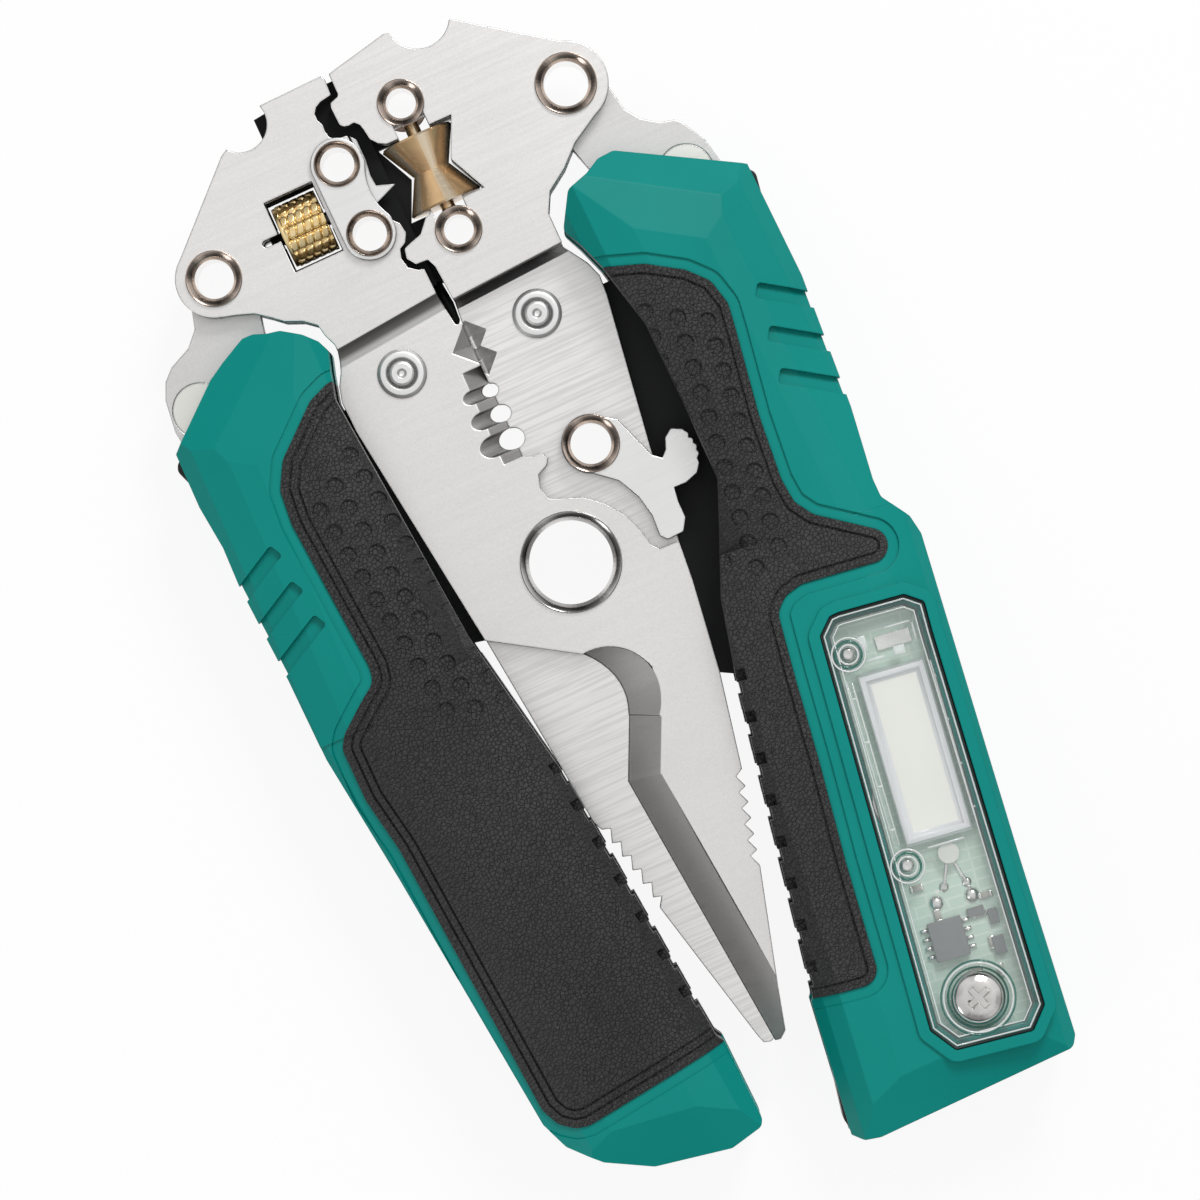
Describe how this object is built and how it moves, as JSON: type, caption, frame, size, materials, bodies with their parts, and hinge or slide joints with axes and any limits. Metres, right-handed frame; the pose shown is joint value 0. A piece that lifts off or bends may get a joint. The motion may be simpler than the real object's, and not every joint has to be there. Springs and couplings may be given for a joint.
{
  "type": "wire stripping pliers",
  "caption": "Fold-over wire stripping pliers with crossed steel jaws, a cable slitting station in the head, a lock lever and folding green and black handles with a built-in tester.",
  "frame": {"origin": "centre of the hollow main pivot, on the plane where the two jaw plates slide on each other", "axes": "+Y along the tool towards the head, +X towards the handle with the tester, +Z out of the front face"},
  "size_m": [0.0912, 0.1694, 0.0229],
  "materials": {
    "jaw_steel": "satin, fine ground lines",
    "bright_steel": "bright satin",
    "dark_steel": "blackened",
    "black_insert": "black oxide",
    "bronze_ring": "turned, dark bronze",
    "brass": "polished",
    "black_plastic": "matte",
    "green_plastic": "fine satin",
    "grip_rubber": "fine leather grain",
    "screw_steel": "bright plated",
    "clear_cover": "clear",
    "circuit_board": "solder mask",
    "display_grey": "matte",
    "component_black": "moulded",
    "lamp_clear": "clear moulded"
  },
  "bodies": {
    "jaw_a_body": {"jaw_a": "jaw_steel", "jaw_a_back_cheek": "jaw_steel", "insert_a": "black_insert", "main_pivot_rivet": "bright_steel", "return_spring": "bright_steel", "jaw_a_rivet": "bright_steel", "link_plate": "bright_steel", "link_rivets": "bronze_ring", "left_pivot_rivet": "bronze_ring"},
    "jaw_b_body": {"jaw_b": "jaw_steel", "jaw_b_front_cheek": "jaw_steel", "insert_b": "black_insert", "jaw_b_rivet": "bright_steel", "roller_axle": "brass", "roller_rivets": "bronze_ring", "lever_rivet": "bronze_ring", "lever_spring": "bright_steel", "right_pivot_rivet": "bronze_ring"},
    "blade_body": {"slitting_blade": "bright_steel"},
    "wheel_body": {"thumbwheel": "brass", "blade_screw": "dark_steel"},
    "roller_body": {"roller": "brass"},
    "lever_body": {"lock_lever": "bright_steel"},
    "left_handle": {"left_tang": "jaw_steel", "left_tang_rivets": "bright_steel", "left_core": "black_plastic", "left_front_shell": "green_plastic", "left_back_shell": "green_plastic", "left_front_grip": "grip_rubber", "left_back_grip": "grip_rubber", "left_liner": "black_plastic", "left_screws": "screw_steel"},
    "right_handle": {"right_tang": "jaw_steel", "right_tang_rivets": "bright_steel", "right_core": "black_plastic", "right_front_shell": "green_plastic", "right_back_shell": "green_plastic", "right_front_grip": "grip_rubber", "right_back_grip": "grip_rubber", "right_liner": "black_plastic", "right_screws": "screw_steel", "tester_cover": "clear_cover", "cover_screw": "screw_steel", "tester_board": "circuit_board", "display_panel": "display_grey", "display_frame": "clear_cover", "board_parts": "component_black", "indicator_lamp": "lamp_clear", "button_cell": "screw_steel", "sense_plate": "brass"}
  },
  "joints": [
    {"name": "jaw_open", "type": "hinge", "parent": "jaw_a_body", "child": "jaw_b_body", "pos_m": [0, 0, 0], "axis": [0, 0, -1], "range_deg": [0, 7], "stiffness_Nm_per_rad": 0.02, "springref_deg": 11.46},
    {"name": "lever_turn", "type": "hinge", "parent": "jaw_b_body", "child": "lever_body", "pos_m": [0.0095, 0.014, 0], "axis": [0, 0, 1], "range_deg": [0, 21.5]},
    {"name": "left_fold", "type": "hinge", "parent": "jaw_a_body", "child": "left_handle", "pos_m": [-0.0289, 0.057, 0], "axis": [0, 0, -1], "range_deg": [0, 175]},
    {"name": "right_fold", "type": "hinge", "parent": "jaw_b_body", "child": "right_handle", "pos_m": [0.0274, 0.0613, 0], "axis": [0, 0, 1], "range_deg": [0, 175]},
    {"name": "roller_spin", "type": "hinge", "parent": "jaw_b_body", "child": "roller_body", "pos_m": [0.0052, 0.05845, 0], "axis": [0, 1, 0], "continuous": true},
    {"name": "wheel_turn", "type": "hinge", "parent": "jaw_a_body", "child": "wheel_body", "pos_m": [-0.01445, 0.0584, 0], "axis": [1, 0, 0], "range_deg": [0, 360]},
    {"name": "blade_slide", "type": "slide", "parent": "jaw_a_body", "child": "blade_body", "axis": [1, 0, 0], "range_m": [0, 0.001]}
  ],
  "couplings": [
    {"joint": "lever_turn", "follows": "jaw_open", "ratio": 3},
    {"joint": "blade_slide", "follows": "wheel_turn", "m_per_rad": 0.00015915}
  ]
}
